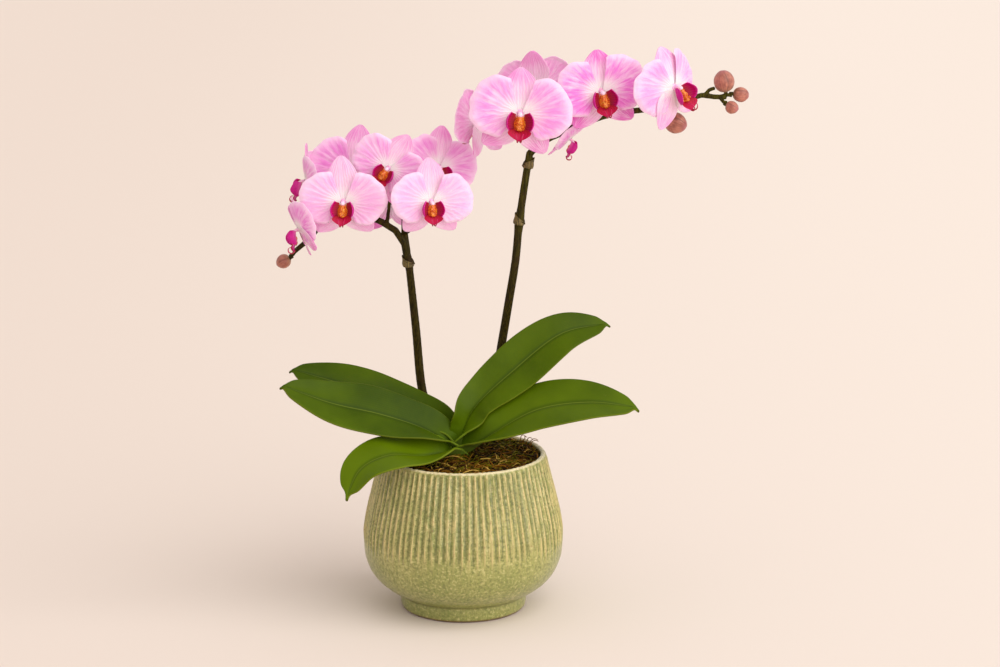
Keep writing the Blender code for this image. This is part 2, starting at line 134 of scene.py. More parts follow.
SKIN_VOXEL = 0.55
# Joint of a stem: its spike, its middle, the stem's direction there, its radius
STEM_NODES = (
    ("spike_left", (-43, 9, 281), (-8, -19, 72), 3.6),
    ("spike_right", (45, 6, 315), (9, -6, 75), 3.4),
    ("spike_right", (51.6, 2.8, 361), (8, -3, 40), 3.2),
)

FLOOR_SIDE = 30000.0


# ------------------------ small tools
def srgb(red, green, blue):
    """A colour from its 0 to 255 sRGB values."""
    def linear(value):
        value /= 255
        return value / 12.92 if value <= 0.04045 else ((value + 0.055) / 1.055) ** 2.4
    return (linear(red), linear(green), linear(blue), 1.0)


def smoothstep(low, high, x):
    t = min(1.0, max(0.0, (x - low) / (high - low)))
    return t * t * (3 - 2 * t)


def wobble(x, y=0.0, z=0.0):
    """Smooth noise between -1 and 1."""
    return noise.noise(Vector((x, y, z)))


def bell(x, width):
    return math.exp(-((x / width) ** 2))


def smooth_line(points, spacing):
    """A Catmull-Rom curve through the points, with one point about every spacing along it."""
    p = [Vector(q) for q in points]
    p = [2 * p[0] - p[1], *p, 2 * p[-1] - p[-2]]
    line = []
    for a, b, c, d in zip(p, p[1:], p[2:], p[3:]):
        steps = max(1, round((c - b).length / spacing))
        for i in range(steps):
            t = i / steps
            bent = (2 * a - 5 * b + 4 * c - d) * t**2 + (3 * b - a - 3 * c + d) * t**3
            line.append(0.5 * (2 * b + (c - a) * t + bent))
    return [*line, p[-2]]


class Shape:
    """A mesh in the making. Each vertex carries how far along and across its petal, leaf or strand it is."""

    def __init__(self):
        self.points, self.faces, self.slots = [], [], []
        self.marks = {"along": [], "across": [], "tint": []}

    def add(self, point, along=0.0, across=0.0, tint=0.0):
        self.points.append(Vector(point))
        for name, value in (("along", along), ("across", across), ("tint", tint)):
            self.marks[name].append(value)
        return len(self.points) - 1

    def face(self, corners, slot=0):
        self.faces.append(tuple(corners))
        self.slots.append(slot)

    def sheet(self, rows, columns, place, front, tint=0.0, slot=0):
        """A surface through place(u, t), u from 0 to 1 and t from -1 to 1, whose front faces a vector."""
        index = [[self.add(place(i / rows, 2 * j / columns - 1), i / rows, 2 * j / columns - 1, tint)
                  for j in range(columns + 1)] for i in range(rows + 1)]
        quads = [(index[i][j], index[i + 1][j], index[i + 1][j + 1], index[i][j + 1])
                 for i in range(rows) for j in range(columns)]
        facing = sum(((self.points[b] - self.points[a]).cross(self.points[d] - self.points[a])
                      for a, b, _, d in quads), Vector())
        for quad in quads:
            self.face(quad if facing.dot(Vector(front)) > 0 else quad[::-1], slot)

    def tube(self, line, radii, sides, tint=0.0, slot=0):
        """A closed tube round a line of points, rounded off at both ends."""
        line = [Vector(q) for q in line]
        side = None
        rings = []
        for i, point in enumerate(line):
            ahead = (line[min(i + 1, len(line) - 1)] - line[max(i - 1, 0)]).normalized()
            side = ahead.orthogonal() if side is None else side - ahead * side.dot(ahead)
            side.normalize()
            other = ahead.cross(side)
            share = i / (len(line) - 1)
            ring = []
            for j in range(sides):
                turn = math.tau * j / sides
                out = side * math.cos(turn) + other * math.sin(turn)
                ring.append(self.add(point + out * radii[i], share, j / sides, tint))
            rings.append(ring)
        for low, high in zip(rings, rings[1:]):
            for j in range(sides):
                k = (j + 1) % sides
                self.face((low[j], low[k], high[k], high[j]), slot)
        self.face(rings[0][::-1], slot)
        self.face(rings[-1], slot)

    def egg(self, centre, radii, turn=Matrix.Identity(3), lumps=None, tint=0.0, slot=0, rows=14, columns=20):
        """A closed ellipsoid. lumps(direction) says how far a point stands out, as a share of the radius."""
        rings = []
        for i in range(1, rows):
            a = math.pi * i / rows
            ring = []
            for j in range(columns):
                b = math.tau * j / columns
                out = Vector((math.sin(a) * math.cos(b), math.sin(a) * math.sin(b), math.cos(a)))
                swell = 1 + (lumps(out) if lumps else 0.0)
                local = Vector([o * r * swell for o, r in zip(out, radii)])
                ring.append(self.add(Vector(centre) + turn @ local, i / rows, j / columns, tint))
            rings.append(ring)
        poles = []
        for end, share in ((1, 0.0), (-1, 1.0)):
            out = Vector((0, 0, end))
            swell = 1 + (lumps(out) if lumps else 0.0)
            local = Vector((0, 0, end * radii[2] * swell))
            poles.append(self.add(Vector(centre) + turn @ local, share, 0.0, tint))
        for low, high in zip(rings, rings[1:]):
            for j in range(columns):
                k = (j + 1) % columns
                self.face((low[j], high[j], high[k], low[k]), slot)
        for j in range(columns):
            k = (j + 1) % columns
            self.face((poles[0], rings[0][j], rings[0][k]), slot)
            self.face((poles[1], rings[-1][k], rings[-1][j]), slot)

    def build(self, name, materials, matrix=None):
        matrix = Matrix.Scale(MM, 4) if matrix is None else matrix
        mesh = bpy.data.meshes.new(name)
        mesh.from_pydata([matrix @ q for q in self.points], [], self.faces)
        for mark, values in self.marks.items():
            mesh.attributes.new(mark, "FLOAT", "POINT").data.foreach_set("value", values)
        for made in materials:
            mesh.materials.append(made)
        mesh.polygons.foreach_set("material_index", self.slots)
        mesh.shade_smooth()
        obj = bpy.data.objects.new(name, mesh)
        bpy.context.scene.collection.objects.link(obj)
        return obj


def thicken(obj, thickness, rounding=1):
    """Gives a sheet its two sides. Its back takes the second material slot."""
    shell = obj.modifiers.new("thickness", "SOLIDIFY")
    shell.thickness = thickness
    shell.offset = 0.0
    shell.material_offset = 1
    if rounding:
        rounded = obj.modifiers.new("rounded edge", "SUBSURF")
        rounded.levels = rounded.render_levels = rounding


def stands_for(obj, slot, *nodes):
    """The piece rides with the plant and replaces these CAD nodes. slot is not used."""
    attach(obj, "root")
    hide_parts(*nodes)


class Shader:
    """A Principled material, with short ways to add nodes to it."""

    def __init__(self, name, **sockets):
        self.material = bpy.data.materials.new(name)
        self.material.use_nodes = True
        self.tree = self.material.node_tree
        self.surface = self.tree.nodes["Principled BSDF"]
        for socket, value in sockets.items():
            self.surface.inputs[socket.replace("_", " ")].default_value = value

    def put(self, socket, value):
        if isinstance(value, bpy.types.NodeSocket):
            self.tree.links.new(value, socket)
        else:
            socket.default_value = value

    def node(self, kind, inputs, output, **settings):
        made = self.tree.nodes.new("ShaderNode" + kind)
        for key, value in settings.items():
            setattr(made, key, value)
        for key, value in inputs.items():
            self.put(made.inputs[key], value)
        return made.outputs[output]

    def math(self, operation, a, b=0.0):
        return self.node("Math", {0: a, 1: b}, 0, operation=operation)

    def times(self, a, b):
        return self.math("MULTIPLY", a, b)

    def plus(self, a, b):
        return self.math("ADD", a, b)

    def mix(self, factor, a, b):
        return self.node("Mix", {0: factor, 6: a, 7: b}, 2, data_type="RGBA")

    def over(self, colour, paint, strength, where):
        """The colour with some paint over it: this strength of it where the mask is 1, none where it is 0."""
        return self.mix(self.times(where, strength), colour, paint)

    def step(self, value, low, high):
        return self.node("MapRange", {0: value, 1: low, 2: high}, 0, interpolation_type="SMOOTHSTEP")

    def mark(self, name):
        return self.node("Attribute", {}, "Fac", attribute_name=name)

    def place(self, stretch=(1, 1, 1)):
        """Object coordinates in metres, stretched along each axis."""
        where = self.node("TexCoord", {}, "Object")
        return self.node("Mapping", {"Vector": where, "Scale": stretch}, 0)

    def noise(self, scale, detail=3.0, roughness=0.55, stretch=(1, 1, 1), distortion=0.0):
        inputs = {"Vector": self.place(stretch), "Scale": scale, "Detail": detail, "Roughness": roughness,
                  "Distortion": distortion}
        return self.node("TexNoise", inputs, "Fac")

    def cells(self, scale):
        """Distance to the nearest of many scattered points."""
        return self.node("TexVoronoi", {"Vector": self.place(), "Scale": scale}, "Distance")

    def bump(self, height, distance, strength=1.0, under=None):
        inputs = {"Height": height, "Distance": distance, "Strength": strength}
        if under is not None:
            inputs["Normal"] = under
        return self.node("Bump", inputs, 0)

    def finish(self, **sockets):
        for socket, value in sockets.items():
            self.put(self.surface.inputs[socket.replace("_", " ")], value)
        return self.material


# ------------------------ materials
def glaze_material():
    """Sage-green glaze that breaks to tan on the ridges, with specks and fine runs. The cream band on the rim
    is partly the glaze breaking thin there and partly a painted highlight along the rim.
    """
    s = Shader("glaze", IOR=1.5, Coat_Weight=0.25, Coat_Roughness=0.15)
    height, ridge, rim = s.mark("along"), s.mark("across"), s.mark("tint")
    fluted = s.step(height, 44, 70)
    runs = s.noise(1.0, 4, 0.6, (420, 420, 30), 0.4)
    patches = s.noise(30, 4, 0.6)
    mottle = s.noise(440, 4, 0.75)
    colour = s.mix(s.step(patches, 0.32, 0.68), srgb(132, 136, 66), srgb(162, 158, 88))
    colour = s.over(colour, srgb(140, 142, 70), 0.4, s.step(s.noise(70, 3, 0.6), 0.5, 0.72))
    colour = s.over(colour, srgb(124, 136, 66), 0.6, s.step(height, 66, 34))
    streak = s.times(s.times(s.step(runs, 0.46, 0.66), fluted), 0.7)
    colour = s.mix(streak, colour, srgb(186, 170, 108))
    colour = s.over(colour, srgb(90, 98, 44), 0.72, s.step(mottle, 0.5, 0.62))
    colour = s.over(colour, srgb(200, 190, 128), 0.85, s.step(mottle, 0.46, 0.36))
    broken = s.step(s.plus(runs, s.times(mottle, 0.6)), 0.62, 0.9)
    colour = s.over(colour, srgb(212, 190, 128), 0.85, s.times(s.step(ridge, -0.3, 0.9), broken))
    rust = s.times(s.step(ridge, 0.1, 0.7), s.step(s.noise(520, 2), 0.58, 0.68))
    colour = s.over(colour, srgb(140, 96, 52), 0.6, rust)
    colour = s.over(colour, srgb(90, 94, 40), 0.6, s.step(ridge, -0.2, -0.8))
    specks = s.times(s.step(s.cells(520), 0.16, 0.08), s.step(s.noise(900, 1), 0.5, 0.58))
    colour = s.over(colour, srgb(76, 60, 30), 0.8, specks)
    # painted highlight: the cream band along the rim is partly glaze breaking thin and partly a painted
    # highlight
    cream = s.mix(s.step(mottle, 0.4, 0.7), srgb(232, 218, 178), srgb(190, 172, 120))
    colour = s.over(colour, cream, 0.85, s.step(rim, 0.35, 0.95))
    groove = s.math("ABSOLUTE", s.math("SUBTRACT", height, 12.8))
    colour = s.over(colour, srgb(84, 86, 40), 0.5, s.step(groove, 2.0, 0.3))
    colour = s.over(colour, srgb(104, 66, 34), 0.9, s.step(height, 3.0, 0.8))
    rough = s.node("MapRange", {0: mottle, 1: 0.3, 2: 0.75, 3: 0.24, 4: 0.46}, 0)
    ripple = s.bump(s.noise(120, 3, 0.6), 0.0008, 0.35)
    pits = s.bump(s.plus(runs, s.times(mottle, 0.8)), 0.0005, 0.55, ripple)
    return s.finish(Base_Color=colour, Roughness=rough, Normal=pits)


def soil_material(name, dark, light, scale):
    s = Shader(name, Roughness=0.95, Specular_IOR_Level=0.1)
    grain = s.noise(scale, 5, 0.7)
    colour = s.mix(s.step(grain, 0.35, 0.7), dark, light)
    return s.finish(Base_Color=colour, Normal=s.bump(grain, 0.002, 0.8))


def strand_material():
    """Moss strands, from dark brown through gold to yellow-green by each strand's own tint."""
    s = Shader("moss strands", Roughness=0.75, Specular_IOR_Level=0.1)
    tint = s.mark("tint")
    colour = s.mix(s.step(tint, 0.1, 0.25), srgb(30, 17, 0), srgb(72, 42, 4))
    colour = s.mix(s.step(tint, 0.35, 0.5), colour, srgb(128, 84, 14))
    colour = s.mix(s.step(tint, 0.6, 0.7), colour, srgb(98, 92, 0))
    colour = s.mix(s.step(tint, 0.92, 0.96), colour, srgb(196, 158, 72))
    colour = s.over(colour, srgb(52, 32, 6), 0.55, s.step(s.noise(300, 3), 0.45, 0.7))
    return s.finish(Base_Color=colour, Normal=s.bump(s.noise(1500, 2), 0.0002, 0.5))


def leaf_material(name, deep, fresh, rough):
    """A leaf's waxy skin: faint parallel veins, a paler midrib and blotches. tint makes it fresher."""
    s = Shader(name, IOR=1.4, Specular_IOR_Level=0.13)
    along, across, tint = s.mark("along"), s.mark("across"), s.mark("tint")
    blotch = s.noise(16, 4, 0.5)
    colour = s.mix(s.step(s.plus(blotch, s.times(tint, 0.5)), 0.2, 1.15), deep, fresh)
    strand = s.plus(s.times(across, 80), s.times(blotch, 9))
    veins = s.times(s.plus(s.math("SINE", strand), 1.0), 0.5)
    colour = s.over(colour, fresh, 0.09, s.step(veins, 0.55, 1.0))
    width = s.math("ABSOLUTE", across)
    colour = s.over(colour, deep, 0.45, s.step(width, 0.18, 0.04))
    colour = s.over(colour, srgb(128, 144, 50), 0.4, s.step(width, 0.035, 0.0))
    colour = s.over(colour, srgb(118, 122, 30), 0.45, s.step(width, 0.97, 1.0))
    colour = s.over(colour, srgb(92, 122, 16), 0.5, s.step(along, 0.22, 0.06))
    colour = s.over(colour, srgb(70, 62, 20), 0.7, s.step(along, 0.985, 1.0))
    flecks = s.times(s.step(s.cells(160), 0.12, 0.05), s.step(s.noise(60, 2), 0.58, 0.68))
    colour = s.over(colour, srgb(112, 112, 50), 0.4, flecks)
    roughness = s.node("MapRange", {0: blotch, 1: 0.3, 2: 0.7, 3: rough - 0.04, 4: rough + 0.08}, 0)
    skin = s.bump(s.noise(160, 3, 0.6), 0.0006, 0.25)
    skin = s.bump(veins, 0.00006, 0.3, skin)
    return s.finish(Base_Color=colour, Roughness=roughness, Normal=skin)


def stem_material():
    """Dark olive and brown at the foot of a spike, greener towards its blooms, with lengthwise streaks."""
    s = Shader("stem", Roughness=0.6, Specular_IOR_Level=0.12)
    height = s.node("SeparateXYZ", {0: s.place()}, 2)
    streaks = s.noise(1.0, 4, 0.65, (900, 900, 60))
    blotch = s.noise(90, 3, 0.6)
    low = s.mix(s.step(streaks, 0.35, 0.65), srgb(26, 20, 0), srgb(58, 48, 4))
    high = s.mix(s.step(streaks, 0.35, 0.65), srgb(40, 36, 0), srgb(80, 76, 14))
    colour = s.mix(s.step(height, 0.27, 0.4), low, high)
    colour = s.over(colour, srgb(48, 24, 16), 0.45, s.step(blotch, 0.5, 0.7))
    specks = s.step(s.cells(700), 0.18, 0.1)
    colour = s.over(colour, srgb(120, 112, 60), 0.2, specks)
    return s.finish(Base_Color=colour, Normal=s.bump(streaks, 0.0003, 0.6))


def husk_material():
    """Dry, papery bracts and old leaf sheaths."""
    s = Shader("husk", Roughness=0.7)
    fibres = s.noise(1.0, 4, 0.6, (1600, 1600, 120))
    colour = s.mix(s.step(fibres, 0.35, 0.68), srgb(52, 40, 12), srgb(128, 108, 52))
    return s.finish(Base_Color=colour, Normal=s.bump(fibres, 0.0003, 0.7))


def petal_material(name, core, pale, blush, vein, depth, start, edge):
    """Veined petal tissue: core colour at the hub, then pale with a streaky blush that tint strengthens.

    depth is the veins' strength. The blush sets in at start and fades beyond edge, as shares of the length.
    """
    s = Shader(name, Roughness=0.5, Sheen_Weight=0.2, Sheen_Roughness=0.5, Subsurface_Weight=0.3,
               Subsurface_Radius=(1.0, 0.45, 0.8), Subsurface_Scale=0.004)
    along, across, tint = s.mark("along"), s.mark("across"), s.mark("tint")
    cloud = s.noise(60, 3, 0.5)
    fan = s.node("CombineXYZ", {0: s.times(across, 7), 1: s.times(along, 1.6), 2: tint}, 0)
    streak = s.node("TexNoise", {"Vector": fan, "Scale": 1.6, "Detail": 4.0, "Roughness": 0.6}, "Fac")
    warp = s.times(s.math("SUBTRACT", s.noise(90, 3, 0.6), 0.5), 9.0)
    main = s.math("SINE", s.plus(s.times(across, 38), warp))
    fine = s.math("SINE", s.plus(s.times(across, 88), s.times(warp, 2.6)))
    lines = s.plus(s.step(main, 0.72, 1.0), s.times(s.step(fine, 0.6, 1.0), 0.45))
    lines = s.times(lines, s.step(streak, 0.3, 0.6))
    reach = s.times(s.step(along, 0.1, 0.4), s.step(along, 1.0, 0.75))
    zone = s.times(s.step(along, start, start + 0.38), s.step(along, 1.06, edge))
    zone = s.times(zone, s.step(s.plus(streak, s.times(cloud, 0.5)), 0.42, 0.95))
    colour = s.mix(s.step(along, 0.06, 0.46), core, pale)
    deeper = s.plus(s.times(tint, 0.95), 0.3)
    colour = s.mix(s.times(zone, deeper), colour, blush)
    strength = s.times(s.times(lines, reach), s.plus(s.times(tint, 0.3), depth))
    colour = s.mix(strength, colour, vein)
    ribs = s.bump(s.plus(main, s.times(streak, 2.0)), 0.0003, 0.3)
    skin = s.bump(s.noise(1400, 2, 0.5), 0.0001, 0.3, ribs)
    return s.finish(Base_Color=colour, Normal=skin)


def lip_material():
    """The lip's inner side: dark crimson with stripes, magenta towards the side lobes' rims."""
    s = Shader("lip", Roughness=0.48, Specular_IOR_Level=0.2, Subsurface_Weight=0.1,
               Subsurface_Radius=(1.0, 0.15, 0.35), Subsurface_Scale=0.002)
    along, across, tint = s.mark("along"), s.mark("across"), s.mark("tint")
    stripes = s.math("SINE", s.plus(s.times(across, 24), s.times(s.noise(200, 2), 6)))
    wing = s.mix(s.step(along, 0.1, 0.8), srgb(150, 0, 34), srgb(200, 0, 112))
    wing = s.over(wing, srgb(230, 70, 186), 0.7, s.step(along, 0.72, 1.0))
    tongue = s.mix(s.step(along, 0.0, 1.0), srgb(160, 0, 26), srgb(198, 0, 76))
    colour = s.mix(tint, wing, tongue)
    colour = s.over(colour, srgb(112, 0, 30), 0.35, s.step(stripes, 0.3, 1.0))
    colour = s.over(colour, srgb(214, 90, 40), 0.4, s.step(along, 0.14, 0.0))
    return s.finish(Base_Color=colour, Normal=s.bump(stripes, 0.0002, 0.25))


def lip_back_material():
    """The outer side of the lip, vivid magenta and a little paler at its base."""
    s = Shader("lip back", Roughness=0.48, Specular_IOR_Level=0.25)
    colour = s.mix(s.step(s.mark("along"), 0.0, 0.7), srgb(236, 120, 190), srgb(196, 20, 130))
    colour = s.over(colour, srgb(150, 10, 90), 0.35, s.step(s.noise(260, 3), 0.45, 0.7))
    return s.finish(Base_Color=colour)


def heart_material():
    """Callus and column: yellow and orange with red bars below, white to pink on the column."""
    s = Shader("callus and column", Roughness=0.33, Subsurface_Weight=0.25, Subsurface_Radius=(1.0, 0.4, 0.2),
               Subsurface_Scale=0.002)
    along, tint = s.mark("along"), s.mark("tint")
    bars = s.noise(1.0, 2, 0.5, (1100, 1100, 1100), 1.2)
    callus = s.mix(s.step(bars, 0.4, 0.6), srgb(186, 34, 14), srgb(244, 150, 40))
    callus = s.over(callus, srgb(244, 190, 70), 0.6, s.step(s.noise(500, 2), 0.58, 0.7))
    column = s.mix(s.step(along, 0.2, 0.7), srgb(244, 176, 214), srgb(250, 214, 232))
    colour = s.mix(s.step(tint, 0.3, 0.6), callus, column)
    whisker = s.mix(s.step(along, 0.1, 0.9), srgb(160, 0, 50), srgb(196, 20, 96))
    colour = s.mix(s.step(tint, 1.2, 1.5), colour, whisker)
    return s.finish(Base_Color=colour, Normal=s.bump(bars, 0.0003, 0.4))


def bud_material():
    """Closed buds: brownish pink, greener at the stalk, with darker seams between the folded sepals."""
    s = Shader("bud", Roughness=0.48, Sheen_Weight=0.15, Sheen_Roughness=0.5, Subsurface_Weight=0.15,
               Subsurface_Radius=(1.0, 0.5, 0.3), Subsurface_Scale=0.002)
    along, across = s.mark("along"), s.mark("across")
    mottle = s.noise(260, 4, 0.6)
    colour = s.mix(s.step(mottle, 0.3, 0.7), srgb(150, 84, 68), srgb(194, 122, 100))
    colour = s.over(colour, srgb(136, 112, 62), 0.6, s.step(along, 0.55, 0.95))
    colour = s.over(colour, srgb(176, 96, 112), 0.55, s.step(along, 0.3, 0.0))
    lines = s.math("SINE", s.plus(s.times(across, 150), s.times(mottle, 3)))
    colour = s.over(colour, srgb(120, 56, 58), 0.35, s.step(lines, 0.3, 1.0))
    colour = s.over(colour, srgb(92, 48, 36), 0.6, s.step(s.mark("tint"), 0.2, 0.9))
    return s.finish(Base_Color=colour, Normal=s.bump(mottle, 0.0003, 0.5))


# ------------------------ pot, medium and moss
def flute(height, turn):
    """How far the wall stands out, from -1 in a groove to 1 on a ridge, and how strong the fluting is."""
    around = (math.cos(turn) * 3, math.sin(turn) * 3)
    fade = FLUTE_FADE + 7 * wobble(around[0] * 3.1, around[1] * 3.1)
    strength = smoothstep(fade, fade + 16, height) * (1 - 0.85 * smoothstep(123.5, 127.2, height))
    phase = FLUTES * turn + 1.5 * wobble(around[0] * 4, around[1] * 4, height * 0.012)
    ridge = (0.5 + 0.5 * math.cos(phase)) ** 1.6 * 2 - 1
    comb = math.cos(phase * 3 + 4 * wobble(around[0] * 9, around[1] * 9, height * 0.03))
    uneven = 0.75 + 0.5 * wobble(around[0] * 11, around[1] * 11, height * 0.02)
    return (ridge * uneven + 0.22 * comb) * strength, strength


def make_pot(material):
    """Outside and inside as one skin: up the outer side, over the rim and down to the medium."""
    s = Shape()
    outside = smooth_line([(r, z, 0) for r, z in POT_PROFILE], 1.0)
    wall = [(r - POT_WALL, z, 0) for r, z in POT_PROFILE[15:6:-1]]
    bottom = [(40, POT_FLOOR + 1, 0), (1, POT_FLOOR, 0)]
    inside = smooth_line([(POT_PROFILE[-1][0], 121, 0), *wall, *bottom], 8.0)
    profile = [Vector((1, 0, 0)), Vector((30, 0, 0)), *outside, *inside]
    sides = FLUTES * FLUTE_SIDES
    rings = []
    for i, (radius, height, _) in enumerate(profile):
        outer = 2 <= i < 2 + len(outside) - 8  # leaves out the foot's underside and the inner side
        ring = []
        for j in range(sides):
            turn = math.tau * j / sides
            x, y = math.cos(turn), math.sin(turn)
            ridge, strength = flute(height, turn) if outer else (0.0, 0.0)
            uneven = 0.16 * wobble(x * 9, y * 9, height * 0.12) + 0.1 * wobble(x * 2, y * 2, height * 0.5)
            rim = smoothstep(125.4, 127.8, height)
            lip = 0.45 * rim * (wobble(x * 24, y * 24) + 0.5 * ridge)
            r = radius + (0.75 * ridge - 0.1 * strength + uneven if outer else 0.0)
            ring.append(s.add((x * r, y * r, height + lip if height > 0.5 else 0.0), height, ridge, rim))
        rings.append(ring)
    for low, high in zip(rings, rings[1:]):
        for j in range(sides):
            k = (j + 1) % sides
            s.face((low[j], low[k], high[k], high[j]))
    s.face(rings[0][::-1])
    s.face(rings[-1])
    stands_for(s.build("stoneware_pot", [material]), "glaze", "pot")


def moss_height(x, y):
    """The moss bed's surface: a low dome, rough, and higher round the crown."""
    r = math.hypot(x, y)
    dome = MOSS_CROWN + (MOSS_EDGE - 1.0 - MOSS_CROWN) * (r / 62) ** 2 + 1.5 * smoothstep(10, 50, x)
    near = math.hypot(x - CROWN_PLACE[0], y - CROWN_PLACE[1])
    return dome + 1.6 * wobble(x * 0.09, y * 0.09) + 0.9 * wobble(x * 0.3, y * 0.3, 4) + 2.5 * bell(near, 14)


def make_moss(bed_material, strand):
    """A bed of matted moss, with loose strands over it and a few that reach over the rim."""
    def place(u, t):
        x, y = BED_RADIUS * u * math.cos(math.pi * t), BED_RADIUS * u * math.sin(math.pi * t)
        return x, y, moss_height(x, y) - 1.2 - 3.5 * u**24

    s = Shape()
    s.sheet(46, 150, place, (0, 0, 1))
    bed = s.build("moss_bed", [bed_material, bed_material])
    thicken(bed, BED_THICKNESS * MM, 0)
    stands_for(bed, "moss", "moss_topping")
    rng = random.Random(7)
    strands = Shape()
    for _ in range(STRANDS):
        radius, turn = 61 * math.sqrt(rng.random()), rng.uniform(0, math.tau)
        x, y = radius * math.cos(turn), radius * math.sin(turn)
        heading, bend = rng.uniform(0, math.tau), rng.uniform(-0.22, 0.22)
        length, lift = rng.uniform(8, 26), rng.uniform(0.2, 3.0) ** 1.25
        line = []
        for i in range(STRAND_STEPS + 1):
            out = math.hypot(x, y)
            if out > STRAND_EDGE:
                x, y = x * STRAND_EDGE / out, y * STRAND_EDGE / out
            rise = lift * math.sin(math.pi * (0.08 + 0.84 * i / STRAND_STEPS)) + rng.uniform(-0.25, 0.25)
            line.append((x, y, moss_height(x, y) - 0.6 + rise))
            heading += bend + rng.uniform(-0.15, 0.15)
            x += math.cos(heading) * length / STRAND_STEPS
            y += math.sin(heading) * length / STRAND_STEPS
        thick = rng.uniform(0.2, 0.62)
        swell = [math.sin(math.pi * (i + 0.5) / (STRAND_STEPS + 1)) for i in range(STRAND_STEPS + 1)]
        strands.tube(line, [thick * (0.45 + 0.55 * q) for q in swell], 4, rng.random())
    for turn, length in OVERHANGS:
        line = []
        for share in (0, 0.2, 0.4, 0.6, 0.8, 1):
            r = 57 + share * length * 0.8
            angle = turn + 0.04 * wobble(r, turn)
            up = 7.5 * math.sin(math.pi * (0.1 + 0.6 * share))
            line.append((r * math.cos(angle), r * math.sin(angle), 124.2 + up))
        strands.tube(line, [0.35, 0.4, 0.4, 0.36, 0.3, 0.15], 5, 0.5)
    stands_for(strands.build("moss_strands", [strand]), "moss", "moss_topping")


def make_medium(material):
    """Shredded bark under the moss, out of sight but filling the pot."""
    s = Shape()
    levels = [(POT_FLOOR + 1.5, 38)]
    for z in (16, 34, 54, 80, 108, 114):
        levels.append((z, next(r for r, height in POT_PROFILE if height >= z) - POT_WALL - 2.2))
    sides = 90
    rings = []
    for z, r in levels:
        angles = [math.tau * j / sides for j in range(sides)]
        rings.append([s.add((r * math.cos(a) + wobble(a, z), r * math.sin(a), z)) for a in angles])
    for low, high in zip(rings, rings[1:]):
        for j in range(sides):
            k = (j + 1) % sides
            s.face((low[j], low[k], high[k], high[j]))
    s.face(rings[0][::-1])
    s.face(rings[-1])
    stands_for(s.build("bark_mix", [material]), "bark", "potting_medium")


# ------------------------ crown and leaves
def along_line(line, share):
    """The point at this share of a line, and the line's direction there."""
    at = share * (len(line) - 1)
    i = min(int(at), len(line) - 2)
    return line[i].lerp(line[i + 1], at - i), (line[i + 1] - line[i]).normalized()


def leaf_width(u):
    """A leaf's half width as a share of its widest: a sheath, then widest past the middle, then a point."""
    v = max(0.0, (u - SHEATH) / (1 - SHEATH))
    blade = 0.24 * (1 - v) ** 2 + 0.98 * math.sin(math.pi * v**0.92) ** 0.75 * (0.72 + 0.28 * v) + 0.05 * v
    sheath = 0.3 * (1 - smoothstep(SHEATH * 0.7, SHEATH * 2.6, u))
    return blade * (1 - 0.92 * smoothstep(0.93, 1.0, u) ** 1.4) + sheath


def make_leaf(name, face, back):
    """A strap blade folded along its midrib, from a sheath that clasps the crown to a hooked tip."""
    spine, width, roll, freshness = LEAVES[name]
    line = smooth_line(spine, 1.0)
    seed = sum(map(ord, name))

    def place(u, t):
        on_line = min(u, 0.999)
        middle, forward = along_line(line, on_line)
        side = forward.cross(Vector((0, 0, 1))).normalized()
        side = Matrix.Rotation(math.radians(roll) * smoothstep(0.0, SHEATH * 1.5, u), 3, forward) @ side
        up = side.cross(forward)
        half = width / 2 * leaf_width(on_line) * (1 + 0.02 * wobble(seed + u * 6, t))
        folded = 1 - smoothstep(SHEATH * 0.4, 0.62, u)
        angle = 0.95 * folded**2
        trough = (t * t + 0.03) ** 0.5 - 0.5
        lift = half * (LEAF_FOLD * trough + math.sin(angle) * abs(t) * 0.8)
        point = middle + side * (half * t * math.cos(angle)) + up * lift
        point -= up * (0.9 * bell(t, 0.06) * smoothstep(0.1, 0.3, u) * (1 - 0.6 * u))
        point += up * (1.1 * wobble(seed + u * 3.5, t * 1.1, 2) * smoothstep(0.3, 0.6, u))
        return point + Vector((0, 0, -3.4)) * smoothstep(0.965, 1.0, u) ** 2

    s = Shape()
    s.sheet(96, 32, place, (0, 0, 1), freshness)
    leaf = s.build(name + "_blade", [face, back])
    thicken(leaf, LEAF_THICKNESS * MM)
    stands_for(leaf, "leaf", name)


def make_crown(stem, husk):
    """The short rootstock with its leaf scars, and the split remains of old sheaths round it."""
    x0, y0 = CROWN_PLACE
    s = Shape()
    line = [(x0, y0, 114 + 0.5 * i) for i in range(36)]
    radii = [6.6 - 0.1 * (q[2] - 114) - 0.5 * (math.sin(q[2] * 1.7) > 0.55) for q in line]
    radii[-3:] = [3.6, 2.6, 1.2]
    s.tube(line, radii, 40)
    stands_for(s.build("rootstock", [stem]), "sheath", "crown")
    sheaths = Shape()
    for i, (turn, tall, reach) in enumerate(OLD_SHEATHS):
        def place(u, t, turn=turn, tall=tall, reach=reach, i=i):
            angle = math.radians(turn) + reach * t * (1 - 0.8 * u**1.3)
            r = 7.4 + 0.6 * (i % 2) + 1.8 * u**2 + 0.5 * wobble(i * 7 + u * 5, t * 4)
            top = tall * u * (1 - 0.25 * t * t) + 0.8 * wobble(t * 9, i) * u
            return (x0 + r * math.cos(angle), y0 + r * math.sin(angle), 119 + top)
        sheaths.sheet(14, 16, place, (math.cos(math.radians(turn)), math.sin(math.radians(turn)), 0))
    old = sheaths.build("old_sheaths", [husk, husk])
    thicken(old, 0.45 * MM)
    stands_for(old, "sheath", "crown")


